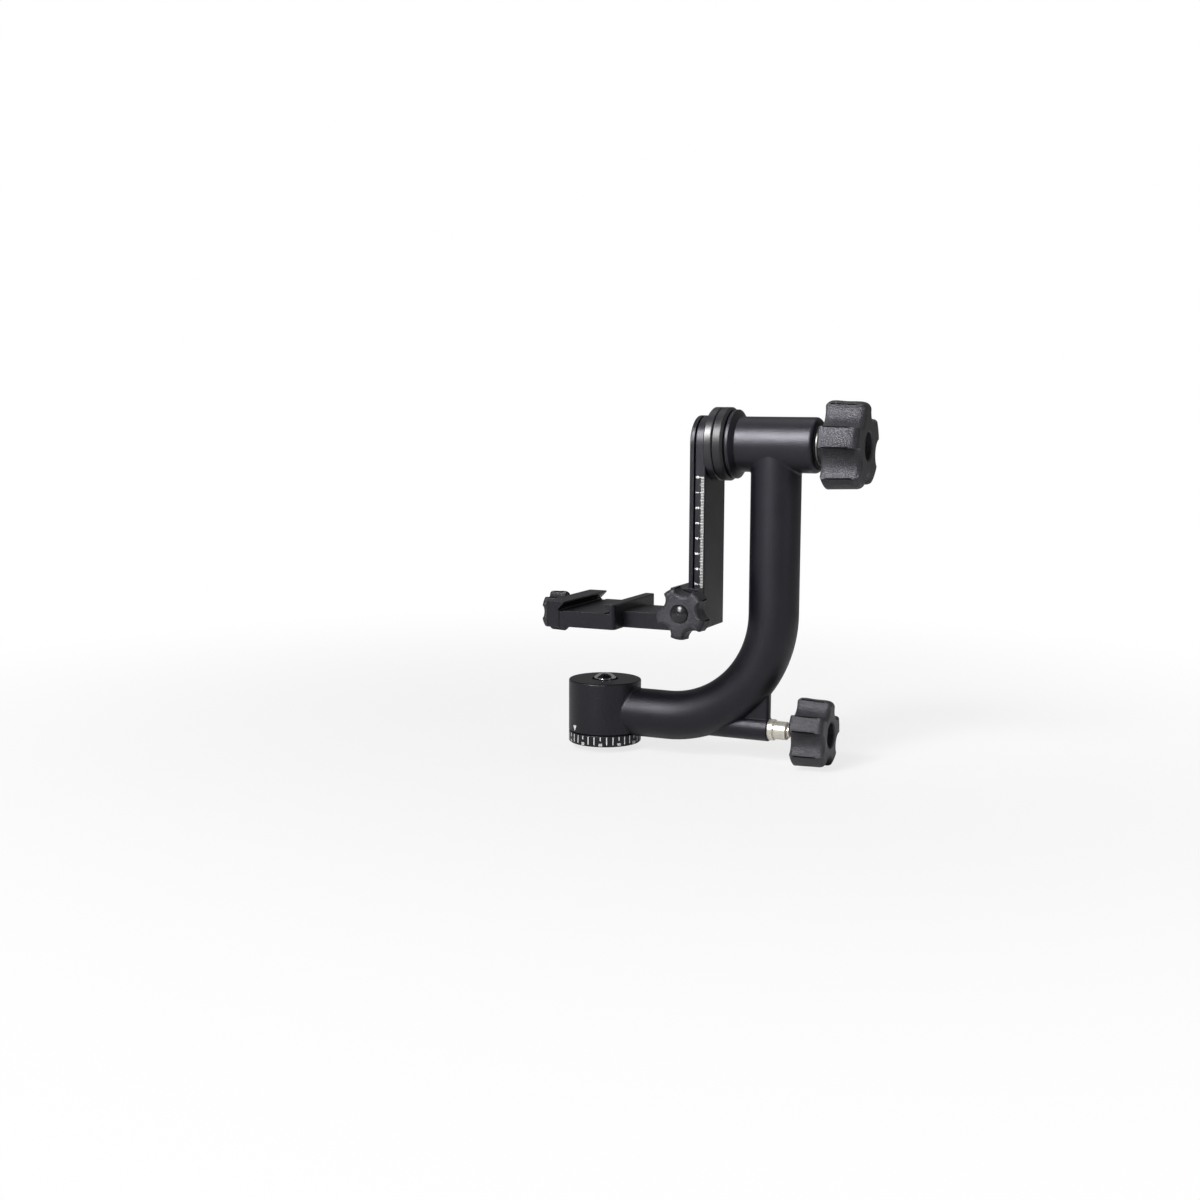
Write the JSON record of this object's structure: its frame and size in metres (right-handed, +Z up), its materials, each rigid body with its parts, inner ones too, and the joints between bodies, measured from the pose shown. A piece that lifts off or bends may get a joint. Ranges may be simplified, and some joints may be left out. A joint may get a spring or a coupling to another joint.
{
  "type": "gimbal tripod head",
  "caption": "Side-mount gimbal head: panning base, bent tube arm, swinging rail with sliding clamp platform and star-knob locks.",
  "frame": {"origin": "pan axis on the underside of the base, at the mouth of the tripod thread", "axes": "+Z up along the pan axis, +X along the tilt axis from the rail to the tilt knob, +Y to the back"},
  "size_m": [0.2257, 0.0811, 0.2389],
  "materials": {
    "black_metal": "satin black anodised",
    "gloss_black_metal": "turned and anodised black, semi-gloss",
    "knob_plastic": "fine-grained black moulding",
    "nickel": "nickel plated, turned",
    "polished_steel": "polished",
    "steel": "turned",
    "brass": "turned",
    "bronze": "plain bearing",
    "liner_polymer": "plain"
  },
  "bodies": {
    "base": {"base_plate": "black_metal", "thread_insert": "steel", "pan_spindle": "steel", "spindle_washer": "steel", "spindle_nut": "polished_steel", "base_screw_1": "steel", "base_screw_2": "steel", "base_screw_3": "steel"},
    "arm": {"j_arm": "black_metal", "pan_bush": "bronze", "thrust_ring": "liner_polymer", "pan_lock_bush": "nickel", "friction_disc": "gloss_black_metal", "friction_ring": "liner_polymer", "tilt_bush_inner": "bronze", "tilt_bush_outer": "bronze"},
    "pan_lock_pad": {"pan_lock_pad": "brass"},
    "pan_lock_knob": {"pan_lock_rod": "steel", "pan_knob": "knob_plastic", "pan_knob_insert": "brass", "pan_knob_cap": "knob_plastic"},
    "swing_arm": {"rail": "black_metal", "hub_disc": "gloss_black_metal", "tilt_shaft": "steel", "hub_screw_1": "steel", "hub_screw_2": "steel", "hub_screw_3": "steel", "rail_stop_pin": "steel"},
    "tilt_lock_washer": {"tilt_washer": "steel"},
    "tilt_lock_knob": {"tilt_knob": "knob_plastic", "tilt_knob_insert": "brass", "tilt_knob_cap": "knob_plastic"},
    "platform": {"bracket": "black_metal", "guide_pin_1": "steel", "guide_pin_2": "steel"},
    "rail_lock_shoe": {"rail_shoe": "brass"},
    "rail_lock_knob": {"rail_stud": "steel", "rail_knob": "knob_plastic", "rail_knob_cap": "knob_plastic"},
    "clamp_jaw": {"clamp_jaw": "black_metal"},
    "clamp_knob": {"clamp_stud": "steel", "clamp_knob": "knob_plastic", "clamp_knob_cap": "knob_plastic"}
  },
  "joints": [
    {"name": "pan", "type": "hinge", "parent": "base", "child": "arm", "pos_m": [0, 0, 0], "axis": [0, 0, 1], "continuous": true},
    {"name": "tilt", "type": "hinge", "parent": "arm", "child": "swing_arm", "pos_m": [0, 0, 0.2065], "axis": [1, 0, 0], "continuous": true},
    {"name": "platform_height", "type": "slide", "parent": "swing_arm", "child": "platform", "axis": [0, 0, 1], "range_m": [0, 0.07]},
    {"name": "pan_lock_travel", "type": "slide", "parent": "arm", "child": "pan_lock_pad", "axis": [1, 0, 0], "range_m": [0, 0.0008]},
    {"name": "pan_lock_turn", "type": "hinge", "parent": "pan_lock_pad", "child": "pan_lock_knob", "pos_m": [0.15, 0, 0.0186], "axis": [1, 0, 0], "range_deg": [0, 360]},
    {"name": "tilt_lock_travel", "type": "slide", "parent": "swing_arm", "child": "tilt_lock_washer", "axis": [1, 0, 0], "range_m": [0, 0.00125]},
    {"name": "tilt_lock_turn", "type": "hinge", "parent": "tilt_lock_washer", "child": "tilt_lock_knob", "pos_m": [0.165, 0, 0.2065], "axis": [1, 0, 0], "range_deg": [0, 360]},
    {"name": "rail_lock_travel", "type": "slide", "parent": "platform", "child": "rail_lock_shoe", "axis": [0, -1, 0], "range_m": [0, 0.001]},
    {"name": "rail_lock_turn", "type": "hinge", "parent": "rail_lock_shoe", "child": "rail_lock_knob", "pos_m": [0.0726, -0.035, 0.0982], "axis": [0, -1, 0], "range_deg": [0, 360]},
    {"name": "clamp_travel", "type": "slide", "parent": "platform", "child": "clamp_jaw", "axis": [-1, 0, 0], "range_m": [0, 0.003]},
    {"name": "clamp_turn", "type": "hinge", "parent": "clamp_jaw", "child": "clamp_knob", "pos_m": [-0.035, 0, 0.0886], "axis": [-1, 0, 0], "range_deg": [0, 1080]}
  ],
  "couplings": [
    {"joint": "pan_lock_turn", "follows": "pan_lock_travel", "rad_per_m": 7854},
    {"joint": "tilt_lock_turn", "follows": "tilt_lock_travel", "rad_per_m": 5026.5},
    {"joint": "rail_lock_turn", "follows": "rail_lock_travel", "rad_per_m": 6283.2},
    {"joint": "clamp_turn", "follows": "clamp_travel", "rad_per_m": 6283.2}
  ]
}
